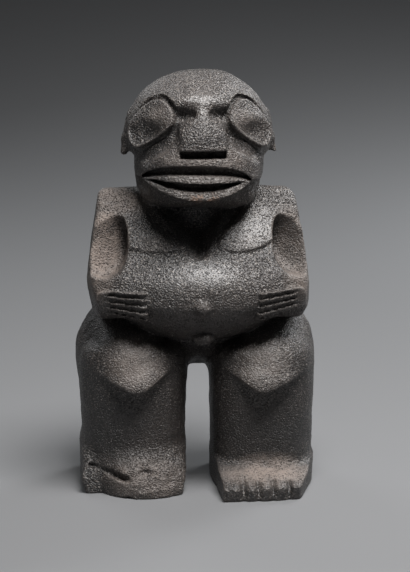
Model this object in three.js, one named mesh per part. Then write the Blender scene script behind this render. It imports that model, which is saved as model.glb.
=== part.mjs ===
import * as THREE from 'three';

// Stone tiki: a squat standing figure carved from one block of dark, pecked basalt.
// Millimetres, +Z up, the figure faces -Y, origin at the middle of the underside.

// Sizes in millimetres. x to the right of the front view, y to the back, z up.
const CRANE = { x: 1, y: 10, z: 345, a: 72, b: 62, c: 64.9 };
const MUZZLE = { x: 0.4, y: -2, z: 310, a: 62, b: 69.5, up: 52, down: 36 };
const BROW = { y: 2, z: 379.5, a: 48.5, b: 52.6, c: 16.5 };
const EYE = { x: 46.8, y: -36.4, z: 360.6, long: 27, short: 21.9, chord: 16.3, gap: 2.2, rim: 2.4, dish: 3.6 };
const EYEDIR = { so: 0.656, co: 0.755, su: 0.225, cu: 0.974 };
const NOSE = { top: 378.5, bottom: 336.2, bridge: -51.6, tip: -70.4, knee: 352.5, slope: 0.79, half: 22.8, flare: 0.52 };
const SLOT = { x: 0.6, z: 332.3, half: 22, height: 3.6 };
const MOUTH = { x: -4.3, z: 307.4, half: 52.5, tilt: -0.0225, top: 13, lip: 6.6, slit: 8.4, low: 18.4 };
const SHOULDER = { top: 294, left: 99, right: 96.8, spread: 0.156 };
const ELBOW = { left: 111.3, right: 109 };
const CHEST = { y: -46, z: 236, rise: 0.77, fall: 0.88, plate: 4.3, left: 44, right: 37 };
const BELLY = { y: -8, z: 190, a: 80, b: 71, up: 52, down: 45 };
const SCOOP = { x: 97, z: 246, a: 26.5, c: 33.5, deep: 10 };
const HAND = { x: 75, y: -50, z: 202, half: 27, fingers: 4, lap: 3.5, lean: 0.20 };
const HIP = { x: 68, y: 24, z: 127, a: 53.5, b: 48, c: 60 };
const KNEE = { x: 64, y: -22.5, z: 82, a: 52.5, b: 55, c: 79, crease: 98.5 };
const LEG = { left: 65.3, right: 62.9, a: 51.8, ar: 50.4, b: 56, y: -2 };
const GAP = { x: -1, half: 10.9, top: 98.8 };
const FOOT = { front: -99.5, toe: 13.5, outer: 113.5, broken: -82.5 };
const TOES = { cut: 4.8, width: 2.5, c1: 38, c2: 52.3, c3: 66.8, c4: 82.5 };
const NAVEL = { x: -0.5, y: -79, z: 186.5 };
const KNOB = { x: 1.5, y: -58, z: 155 };
// grid for tracing the surface, and the number of facets kept
const CELL = 3.2;
const FACETS = 7600;
const LOW = [-131.2, -112, -4.8];
const SPAN = [262.4, 217.6, 428.8];
// middle of the carving in plan, moved onto the origin
const MIDDLE = [-2.066, -13.572];

const { sqrt, exp, floor } = Math;
const absv = Math.abs;
const mn = Math.min;
const mx = Math.max;
const where = (test, a, b) => (test ? a : b);

function clamp(v, a, b) {
  return mn(mx(v, a), b);
}

function sstep(a, b, v) {
  const t = clamp((v - a) / (b - a), 0, 1);
  return t * t * (3 - 2 * t);
}

function bump(v) {
  return exp(-v * v);
}

// rounded union and rounded cut, k wide
function smin(a, b, k) {
  const h = mx(k - absv(a - b), 0) / k;
  return mn(a, b) - h * h * k * 0.25;
}

function smax(a, b, k) {
  const h = mx(k - absv(a - b), 0) / k;
  return mx(a, b) + h * h * k * 0.25;
}

function ell(dx, dy, dz, a, b, c) {
  const k0 = sqrt((dx / a) ** 2 + (dy / b) ** 2 + (dz / c) ** 2);
  const k1 = sqrt((dx / (a * a)) ** 2 + (dy / (b * b)) ** 2 + (dz / (c * c)) ** 2) + 1e-9;
  return k0 * (k0 - 1) / k1;
}

// superellipsoid: exponent n in plan, m up and down
function sup(dx, dy, dz, a, b, c, n, m) {
  const e = ((absv(dx / a) ** n + absv(dy / b) ** n) ** (m / n) + absv(dz / c) ** m) ** (1 / m) + 1e-6;
  return sqrt(dx * dx + dy * dy + dz * dz) * (1 - 1 / e);
}

// round cone between two points
function cone(x, y, z, ax, ay, az, ra, bx, by, bz, rb) {
  const ux = bx - ax;
  const uy = by - ay;
  const uz = bz - az;
  const px = x - ax;
  const py = y - ay;
  const pz = z - az;
  const t = clamp((px * ux + py * uy + pz * uz) / (ux * ux + uy * uy + uz * uz), 0, 1);
  return sqrt((px - t * ux) ** 2 + (py - t * uy) ** 2 + (pz - t * uz) ** 2) - (ra + (rb - ra) * t);
}

function box(dx, dy, dz, hx, hy, hz, r) {
  const qx = absv(dx) - (hx - r);
  const qy = absv(dy) - (hy - r);
  const qz = absv(dz) - (hz - r);
  const out = sqrt(mx(qx, 0) ** 2 + mx(qy, 0) ** 2 + mx(qz, 0) ** 2);
  return out + mn(mx(qx, mx(qy, qz)), 0) - r;
}

// large dished eye discs, sunk above, standing out below
function eyes(x, y, z, d0) {
  const ax = absv(x - 0.4);
  const dx = ax - EYE.x;
  const dy = y - EYE.y;
  const dz = z - EYE.z;
  const u = -EYEDIR.co * dx - EYEDIR.so * dy;
  const v = -EYEDIR.so * EYEDIR.su * dx + EYEDIR.co * EYEDIR.su * dy + EYEDIR.cu * dz;
  const w = EYEDIR.so * EYEDIR.cu * dx - EYEDIR.co * EYEDIR.cu * dy + EYEDIR.su * dz;
  const p = (u + v) * 0.7071 + 2.6;
  const q = (v - u) * 0.7071;
  const oval = (absv(p / EYE.long) ** 2.4 + absv(q / EYE.short) ** 2.4) ** (1 / 2.4);
  const side = smax((oval - 1) * 24, u * 0.53 - v * 0.85 - EYE.chord, 7);
  const rho = 1 + side / 24;
  const low = sstep(4, -12, v);
  const dish = bump(sqrt(((u + 2) / 14) ** 2 + ((v + 8.5) / 8.5) ** 2));
  const face = 1 + 3.2 * bump((v - 3) / 12) * mx(1 - rho * rho * rho, 0) - 0.03 * v - EYE.dish * dish + EYE.rim * low * bump((rho - 0.955) / 0.065);
  let socket = smax(side - EYE.gap - 1.6 * sstep(-4, 10, v), face - 5.4 - w, 1);
  socket = smax(socket, w - 26, 1);
  let disc = smax(side, w - face, 2);
  disc = smax(disc, -w - 16, 1);
  return smin(smax(d0, -socket, 1.6), disc, 1);
}

// lips: bands sunk into the muzzle, above, between and below them
function mouth(x, y, z) {
  const xm = x - MOUTH.x;
  const t = mn(absv(xm) / MOUTH.half, 1);
  const zc = MOUTH.z + MOUTH.tilt * xm;
  const e = (1 - t ** 3.4) ** 0.8;
  const l = 1 - t * t;
  const zt = zc + MOUTH.top * e + 0.6;
  const zu = zc + MOUTH.lip * e - 0.6;
  const ts = mn(absv(xm + 1) / 44, 1);
  const ls = 1 - ts * ts;
  const zs = zc - 2 * ls - 0.2;
  const zr = zc - MOUTH.slit * ls - 0.2;
  const zb = zc - MOUTH.low * l ** 0.9 - 0.4;
  const front = sstep(6, -16, y);
  const inm = sstep(53.5, 50, absv(xm));
  const groove = sstep(zu - 1.1, zu + 1.1, z) * sstep(zt + 0.9, zt - 0.9, z) * inm;
  const slit = sstep(zr - 1.6, zr + 1.6, z) * sstep(zs + 0.8, zs - 0.8, z) * sstep(45, 40, absv(xm + 1));
  const chin = sstep(zb + 0.8, zb - 0.8, z) * sstep(zb - 24, zb - 6, z);
  const upper = clamp((zu - z) / (zu - zs + 0.5), 0, 1) * sstep(zs - 0.8, zs + 0.8, z);
  const lower = clamp((zr - z) / (zr - zb + 0.5), 0, 1) * sstep(zb - 0.8, zb + 0.8, z);
  const out = inm * (0.4 + 0.6 * l) * (3.6 * upper + where(z < zs - 1, 6.6 * lower, 0));
  return front * (8 * groove + 8.5 * slit + 6 * chin - out);
}

function head(x, y, z) {
  const dx = x - CRANE.x;
  const ax = absv(dx);
  let d = sup(dx, y - CRANE.y, z - CRANE.z - 1.6 * bump((dx - 26) / 16), CRANE.a, CRANE.b, CRANE.c, 2.1, 2.09);
  d = smax(d, ax - (62 + 14.5 * sstep(325, 337, z)), 4);
  const muz = sup(x - MUZZLE.x, y - MUZZLE.y, z - MUZZLE.z, MUZZLE.a, MUZZLE.b, where(z < MUZZLE.z, MUZZLE.down, MUZZLE.up), 2.35, where(z < MUZZLE.z, 3.2, 2.7));
  d = smin(d, muz, 6);
  // the forehead stands out over the eyes and the sockets
  d = smin(d, sup(dx, y - BROW.y, z - BROW.z, BROW.a, BROW.b, BROW.c, 2.5, 2.1), 14);
  // valley from the bridge of the nose, close under each eye, out to the cheek
  let val = cone(ax, y, z, 20, -55, 357, 6, 40, -53, 342.5, 8);
  val = smin(val, cone(ax, y, z, 40, -53, 342.5, 8, 62, -42, 329.5, 9.5), 5);
  d = smax(d, -val, 5);
  // nose: a wedge with rounded edges, flat below
  let nf = 0.785 * (NOSE.bridge - y) + 0.62 * (z - NOSE.top) + 0.012 * ax * ax;
  nf = smax(nf, NOSE.tip - y - 0.10 * (NOSE.knee - z) + 0.007 * ax * ax, 5);
  const yn = mx(NOSE.bridge - (NOSE.top - z) * NOSE.slope, NOSE.tip);
  const ns = (ax - 6 - (NOSE.top - z) * NOSE.flare * 0.9) * 0.80 - (y - yn) * 0.60;
  let nose = smax(nf, ns, 9);
  nose = smax(nose, ax - NOSE.half, 4);
  nose = smax(nose, NOSE.bottom - z, 1.2);
  nose = smax(nose, z - NOSE.top - 2, 4);
  nose = smax(nose, y + 30, 2);
  d = smin(d, nose, 4.5);
  // sockets beside the bridge
  d = smax(d, -cone(ax, y, z, 11, -53.5, 369.5, 4.6, 21.5, -50.5, 369, 6.2), 3);
  // slot under the nose
  d = smax(d, -box(x - SLOT.x, y + 72, z - SLOT.z, SLOT.half, 14, SLOT.height, 1.2), 1.8);
  // ears: a flange behind each eye that ends in a point
  let ear = cone(ax, y, z, 65, 8, 366, 5, 70, 8, 342, 5.5);
  ear = smin(ear, cone(ax, y, z, 70, 8, 342, 5.5, where(dx < 0, 73.5, 73.9), 6, 330, 3.6), 4);
  ear = smax(ear, (where(dx < 0, 325.2, 328.6) - z) * 0.96 + (76 - ax) * 0.28, 1.2);
  d = smin(d, ear, 5);
  // a plain coil on the flat of each ear
  const coil = sqrt((y - 27) ** 2 + (z - 350) ** 2);
  d = d + 1.6 * bump((coil - 8.5) / 2.2) * sstep(50, 58, ax);
  d = eyes(x, y, z, d);
  return d + mouth(x, y, z);
}

// front of the breast, and below it the slope down to the hands, with the breast plates raised
function breast(x, y, z) {
  const ax = absv(x);
  const left = x < 0;
  const dz = z - CHEST.z;
  const fy = CHEST.y + where(dz > 0, CHEST.rise, CHEST.fall) * dz + 0.0005 * x * x;
  const w = (ax - where(left, CHEST.left, CHEST.right)) / 30;
  const out = w > 0;
  const zp = CHEST.z - 1 + w * w * where(out, where(left, 5, 8), where(left, 1, 9));
  const edge = (z - zp) * 0.8;
  const inner = (ax - where(left, 8, 10) - (z - 238) * 0.80) * 0.78;
  const e = smin(edge, inner, where(left, 10, 8));
  const plate = CHEST.plate * sstep(-1, where(left, 3.6, 2.6), e) * (1 - 0.15 * bump(e / 9));
  return (fy - plate - y) * 0.78;
}

function trunk(x, y, z) {
  const ax = absv(x);
  const left = x < 0;
  const side = (ax - where(left, SHOULDER.left, SHOULDER.right) - (287 - z) * where(left, SHOULDER.spread, SHOULDER.spread - 0.012)) * 0.988;
  const top = z - SHOULDER.top + where(left, 0.02, 0) * mx(ax - 50, 0);
  const back = y - 46 - 10 * sstep(300, 225, z) + 0.0012 * x * x + 3.4 * bump(x / 8) * sstep(140, 185, z) + 2.4 * bump((ax - 80 - 0.12 * (290 - z)) / 4.5) * sstep(196, 214, z);
  let blk = smax(side, top, where(left, 8, 13));
  blk = smax(blk, back, 26);
  blk = smax(blk, breast(x, y, z), 6);
  // plan outline of the slope where it meets the hands
  const e = (absv(x / 121) ** 2.5 + absv((y + 6) / 68) ** 2.5) ** (1 / 2.5) + 1e-6;
  const plan = sqrt(x * x + (y + 6) ** 2) * (1 - 1 / e);
  blk = smax(blk, plan, 12);
  blk = smax(blk, 184 - z, 8);
  return blk;
}

function belly(x, y, z) {
  const dz = z - BELLY.z;
  return sup(x, y - BELLY.y, dz, BELLY.a, BELLY.b, where(dz > 0, BELLY.up, BELLY.down), 2.3, 2.1);
}

// cut between arm and breast: a steep inner wall, and a floor that comes forward outwards
function scoop(x, y, z) {
  const ax = absv(x);
  const left = x < 0;
  const u = (ax - SCOOP.x) / SCOOP.a;
  const v = (z - SCOOP.z) / SCOOP.c;
  const e = (absv(u) ** 2.3 + absv(v) ** 2.3) ** (1 / 2.3);
  const edge = (e - 1) * 28;
  const flat = y + SCOOP.deep + 0.46 * (ax - 72) + 10 * v * v;
  return smax(edge, flat, 9);
}

function forearm(x, y, z) {
  return box(absv(x) - 82, y + 8, z - 189.5, 27.5, 44, 18.5, 12);
}

// hand: a slab turned outwards, four fingers that each lean in below
function hand(x, y, z) {
  const ax = absv(x);
  const left = x < 0;
  const dx = ax - HAND.x;
  const dy = y - HAND.y;
  const hx = dx * 0.951 + dy * 0.309;
  const hy = dy * 0.951 - dx * 0.309;
  const tip = hx + HAND.half;
  const zt = HAND.z + where(left, 0.02, 0.10) * tip - where(left, 0, 1.8);
  const zb = where(left, 173.5, 172.5) + where(left, 0.17, 0.21) * tip;
  const half = (zt - zb) * 0.5;
  const hz = z - (zt + zb) * 0.5;
  const lean = hy + 20.5 - (zt - z) * HAND.lean;
  let d = smax(smax(absv(hx) - HAND.half, hy - 19, 3), absv(hz) - half, 1.6);
  d = smax(d, -lean, 1.6);
  d = smax(d, (-hx - HAND.half) * 0.707 - lean * 0.707 + 2.2, 1.2);
  d = smax(d, ax - where(left, 104.5, 103.5), 9);
  d = smax(d, sqrt(mx(hx - 8, 0) ** 2 + mx(absv(hz) - half + 17, 0) ** 2) - 19.5, 4);
  const ph = clamp((zt - z) / (zt - zb), 0, 1) * HAND.fingers;
  const fr = ph - floor(mn(ph, HAND.fingers - 0.001));
  const lap = sstep(0.02, 1, fr) * (1 - sstep(0.90, 1, fr)) * HAND.lap;
  const reach = sstep(42, 34, tip) * sstep(7, 3, lean) * sstep(3.95, 3.7, ph);
  return d + lap * reach;
}

function legs(x, y, z) {
  const ax = absv(x);
  const left = x < 0;
  const grow = sstep(20, 120, z);
  // columns, a little fuller above
  const dx = ax - where(left, LEG.left, LEG.right);
  const dy = y - LEG.y;
  const a = where(left, LEG.a, LEG.ar) + grow * 2.2;
  const b = LEG.b + 2 * grow + where(dy > 0, 4.5 * bump((z - 74) / 26), 0);
  const e = (absv(dx / a) ** 2.8 + absv(dy / b) ** 2.8) ** (1 / 2.8) + 1e-6;
  let col = sqrt(dx * dx + dy * dy) * (1 - 1 / e);
  col = smax(col, z - 146, 24);
  // hips and seat
  const hip = ell(ax - HIP.x, y - HIP.y, z - HIP.z + where(left, 0, 4), HIP.a - where(left, 0, 4.2), HIP.b, HIP.c - where(left, 0, 3));
  const seat = ell(x, y - 22, z - 158, 86, 46, 40);
  let d = smin(col, hip, 14);
  d = smin(d, seat, 16);
  // web that closes the gap above
  d = smin(d, ell(x + 1, y - 38, z - 128, 16, 24, 22), 8);
  // parting behind, from the small of the back down to the gap
  d = smax(d, -cone(x, y, z, 0, 80, 118, 7, 0, 72, 168, 3), 7);
  // knee and thigh, undercut in a wide V
  const kx = ax - where(left, 63, 58);
  const v1 = (KNEE.crease + where(left, 0.50, 0.44) * kx - z) * 0.88;
  const v2 = (KNEE.crease - where(left, 0.66, 0.62) * kx - z) * 0.85;
  let knee = sup(ax - KNEE.x, y - KNEE.y, z - KNEE.z, KNEE.a, KNEE.b, KNEE.c, 2.4, 1.7);
  knee = smin(knee, cone(ax, y, z, 78, 10, 140, 38, 74, -26, 128, 33), 12);
  const ridge = cone(ax, y, z, 88, 0, 146, 22.5, 84.5, -34, 131, 22);
  knee = smin(knee, where(left, ridge + 12, ridge), 8);
  knee = smax(knee, smax(v1, v2, 12), 4);
  return smin(d, knee, 4);
}

// the whole foot: a flat slab with sloping instep and parted toes
function wholefoot(x, y, z) {
  const yf = FOOT.front + 5 * sstep(60, 98, x);
  const yy = mn(y, 0);
  const outer = x - (FOOT.outer - 0.0022 * yy * yy - 1.6 * sstep(22, 4, z));
  const inner = 15.6 + 2.4 * sstep(-60, -95, y) - x;
  const top = smax((z - FOOT.toe - 0.34 * (y - yf)) * 0.94, z - 25.5, 8);
  let d = smax(smax(outer, inner, 6), yf - y + 0.14 * mx(15 - z, 0), 2.5);
  d = smax(d, top, 2.5);
  d = smax(d, y - 58, 30);
  const cut = bump((x - TOES.c1) / TOES.width) + bump((x - TOES.c2) / TOES.width) + bump((x - TOES.c3) / TOES.width) + bump((x - TOES.c4) / TOES.width);
  const wide = bump((x - TOES.c1) / 5) + bump((x - TOES.c2) / 5) + bump((x - TOES.c3) / 5) + bump((x - TOES.c4) / 5);
  return d + (TOES.cut * mn(cut, 1) * sstep(-78, -86, y) + 1.5 * mn(wide, 1) * sstep(-84, -94, y)) * sstep(22, 15, z) * (0.25 + 0.75 * sstep(0, 11, z));
}

// the other foot: its front broken away
function brokenfoot(x, y, z) {
  const ax = -x;
  const k = where(ax > 60, 0.017, 0.0085);
  const yb = mn(FOOT.broken + k * (ax - 60) ** 2, -57) - 1 - 2 * sstep(92, 114, ax);
  const side = smax(ax - 118 + 3 * sstep(14, 0, z), 15.4 + 5 * sstep(20, 0, z) - ax, 6);
  const slope = (z - 17 - 3 * sstep(60, 90, ax) - 0.95 * (y - yb)) * 0.725;
  let d = smax(smax(side, yb - y + 0.06 * z, 3), slope, 8);
  d = smax(d, z - 46, 10);
  // gouge across the instep, and a notch beside it
  const gx = x + 90.5;
  const gz = z - 22.3;
  const gouge = ell(0.968 * gx - 0.252 * gz, y + 66 + 0.79 * gx, 0.252 * gx + 0.968 * gz, 22, 9.5, 3.7);
  d = smax(d, -gouge, 1.2);
  d = smax(d, -ell(x + 52.7, y + 75.8, z - 24.1, 9.5, 4.5, 2.1), 1.2);
  return smax(d, y - 58, 30);
}

function shape(x, y, z) {
  const ax = absv(x);
  const left = x < 0;
  let d = smin(trunk(x, y, z), belly(x, y, z), 8);
  d = smin(d, forearm(x, y, z), 10);
  // outer side of the arms, falling in below the elbow and towards the hand
  const lim = where(left, ELBOW.left - 0.19 * mx(206 - z, 0), ELBOW.right - 0.55 * mx(182 - z, 0)) - 0.19 * mx(-20 - y, 0);
  d = smax(d, (ax - lim) * 0.97, 4);
  d = smax(d, -scoop(x, y, z), 2);
  // hollow between the breasts up to the neck
  const vx = (x - 1.5) * where(x < 1.5, 1, 1.3);
  const vee = cone(vx, y, z, 0, -47, 240, 8, -3, -19, 300, 47);
  d = smax(d, -vee, where(left, 9, 4));
  d = smin(d, hand(x, y, z), 1.2);
  d = smin(d, legs(x, y, z), 4);
  d = smin(d, where(left, brokenfoot(x, y, z), wholefoot(x, y, z)), 9);
  // gap between the legs
  const gx = absv(x - GAP.x);
  const gz = mx(z - GAP.top, 0);
  d = smax(d, GAP.half - sqrt(gx * gx + gz * gz), 5);
  // neck
  d = smin(d, cone(x, y, z, 0, 22, 250, 36, 0, 20, 320, 38), 8);
  d = smin(d, head(x, y, z), 3);
  // navel, in a shallow dish, and knob
  d = d + 1.8 * bump(sqrt((x - NAVEL.x) ** 2 + (z - NAVEL.z) ** 2) / 11) * sstep(-60, -70, y);
  d = smin(d, ((absv(x - NAVEL.x) / 9) ** 1.4 + (absv(z - NAVEL.z) / 9) ** 1.4 + (absv(y - NAVEL.y) / 6) ** 2 - 1) * 3.2, 3);
  d = smin(d, ell(x - KNOB.x, y - KNOB.y, z - KNOB.z, 11.5, 11, 7.5), 2.5);
  // flat underside
  return smax(d, -z, 1.5);
}
// ---- surface tracing: six tetrahedra to a cell, so the skin closes without a gap ----
const CORNER = [[0, 0, 0], [1, 0, 0], [0, 1, 0], [1, 1, 0], [0, 0, 1], [1, 0, 1], [0, 1, 1], [1, 1, 1]];
const TETS = [[0, 1, 3, 7], [0, 3, 2, 7], [0, 2, 6, 7], [0, 6, 4, 7], [0, 4, 5, 7], [0, 5, 1, 7]];

function trace() {
  const n = SPAN.map((s) => Math.round(s / CELL));
  const sx = n[0] + 1;
  const sy = n[1] + 1;
  const sz = n[2] + 1;
  const index = (i, j, k) => i + sx * (j + sy * k);
  const value = new Float64Array(sx * sy * sz).fill(NaN);
  const block = 4;
  const active = [];
  for (let k = 0; k < n[2]; k += block) {
    for (let j = 0; j < n[1]; j += block) {
      for (let i = 0; i < n[0]; i += block) {
        const c = [i, j, k].map((v, a) => LOW[a] + (v + block / 2) * CELL);
        const d = shape(c[0], c[1], c[2]);
        // the steps at the lips are steeper than a true distance
        const lips = c[1] < -25 && c[2] > 265 && c[2] < 335 ? 16 : 0;
        if (absv(d) < CELL * block * 1.35 + CELL + lips) active.push([i, j, k]);
      }
    }
  }
  for (const [i0, j0, k0] of active) {
    for (let k = k0; k <= mn(k0 + block, n[2]); k += 1) {
      for (let j = j0; j <= mn(j0 + block, n[1]); j += 1) {
        for (let i = i0; i <= mn(i0 + block, n[0]); i += 1) {
          const q = index(i, j, k);
          if (Number.isNaN(value[q])) value[q] = shape(LOW[0] + i * CELL, LOW[1] + j * CELL, LOW[2] + k * CELL);
        }
      }
    }
  }
  const points = [];
  const faces = [];
  const shared = new Map();
  const crossing = (p, q) => {
    const lo = mn(p.id, q.id);
    const hi = mx(p.id, q.id);
    const key = lo * 4194304 * 4 + hi;
    let v = shared.get(key);
    if (v === undefined) {
      const a = p.id === lo ? p : q;
      const b = p.id === lo ? q : p;
      const t = mn(mx(a.d / (a.d - b.d), 0.08), 0.92);
      v = points.length;
      points.push([a.x + (b.x - a.x) * t, a.y + (b.y - a.y) * t, a.z + (b.z - a.z) * t]);
      shared.set(key, v);
    }
    return v;
  };
  const face = (a, b, c, out) => {
    const [p, q, r] = [points[a], points[b], points[c]];
    const u = [q[0] - p[0], q[1] - p[1], q[2] - p[2]];
    const w = [r[0] - p[0], r[1] - p[1], r[2] - p[2]];
    const s = (u[1] * w[2] - u[2] * w[1]) * out[0] + (u[2] * w[0] - u[0] * w[2]) * out[1] + (u[0] * w[1] - u[1] * w[0]) * out[2];
    if (s >= 0) faces.push([a, b, c]);
    else faces.push([a, c, b]);
  };
  const cells = new Set();
  for (const [i0, j0, k0] of active) {
    for (let k = k0; k < mn(k0 + block, n[2]); k += 1) {
      for (let j = j0; j < mn(j0 + block, n[1]); j += 1) {
        for (let i = i0; i < mn(i0 + block, n[0]); i += 1) cells.add(index(i, j, k));
      }
    }
  }
  for (const q0 of cells) {
    const i = q0 % sx;
    const j = floor(q0 / sx) % sy;
    const k = floor(q0 / (sx * sy));
    const at = CORNER.map(([a, b, c]) => {
      const id = index(i + a, j + b, k + c);
      return { id, d: value[id], x: LOW[0] + (i + a) * CELL, y: LOW[1] + (j + b) * CELL, z: LOW[2] + (k + c) * CELL };
    });
    for (const tet of TETS) {
      const solid = tet.map((m) => at[m]).filter((p) => p.d < 0);
      const air = tet.map((m) => at[m]).filter((p) => p.d >= 0);
      if (solid.length === 0 || air.length === 0) continue;
      const mid = (list, key) => list.reduce((s, p) => s + p[key], 0) / list.length;
      const out = ['x', 'y', 'z'].map((key) => mid(air, key) - mid(solid, key));
      if (solid.length === 2) {
        const a = crossing(solid[0], air[0]);
        const b = crossing(solid[0], air[1]);
        const c = crossing(solid[1], air[1]);
        const d = crossing(solid[1], air[0]);
        face(a, b, c, out);
        face(a, c, d, out);
      } else {
        const one = solid.length === 1 ? solid[0] : air[0];
        const three = solid.length === 1 ? air : solid;
        face(crossing(one, three[0]), crossing(one, three[1]), crossing(one, three[2]), out);
      }
    }
  }
  return { points, faces };
}

// ---- the traced skin is evened out, each point going back to the surface ----
function relax({ points, faces }, rounds) {
  const next = points.map(() => new Set());
  faces.forEach((f) => f.forEach((v, k) => { next[v].add(f[(k + 1) % 3]); next[f[(k + 1) % 3]].add(v); }));
  let now = points;
  for (let r = 0; r < rounds; r += 1) {
    now = now.map((p, i) => {
      if (p[2] < 0.5 * CELL) return p;
      const m = [0, 0, 0];
      next[i].forEach((u) => { for (let k = 0; k < 3; k += 1) m[k] += now[u][k]; });
      const q = p.map((v, k) => v + 0.6 * (m[k] / next[i].size - v));
      const d = shape(q[0], q[1], q[2]);
      const g = [0, 1, 2].map((k) => {
        const s = q.slice();
        s[k] += 0.05;
        return (shape(s[0], s[1], s[2]) - d) / 0.05;
      });
      const gg = mx(g[0] * g[0] + g[1] * g[1] + g[2] * g[2], 0.3);
      const t = mn(mx(d / gg, -1.2), 1.2);
      return q.map((v, k) => v - t * g[k]);
    });
  }
  return { points: now, faces };
}

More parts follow.
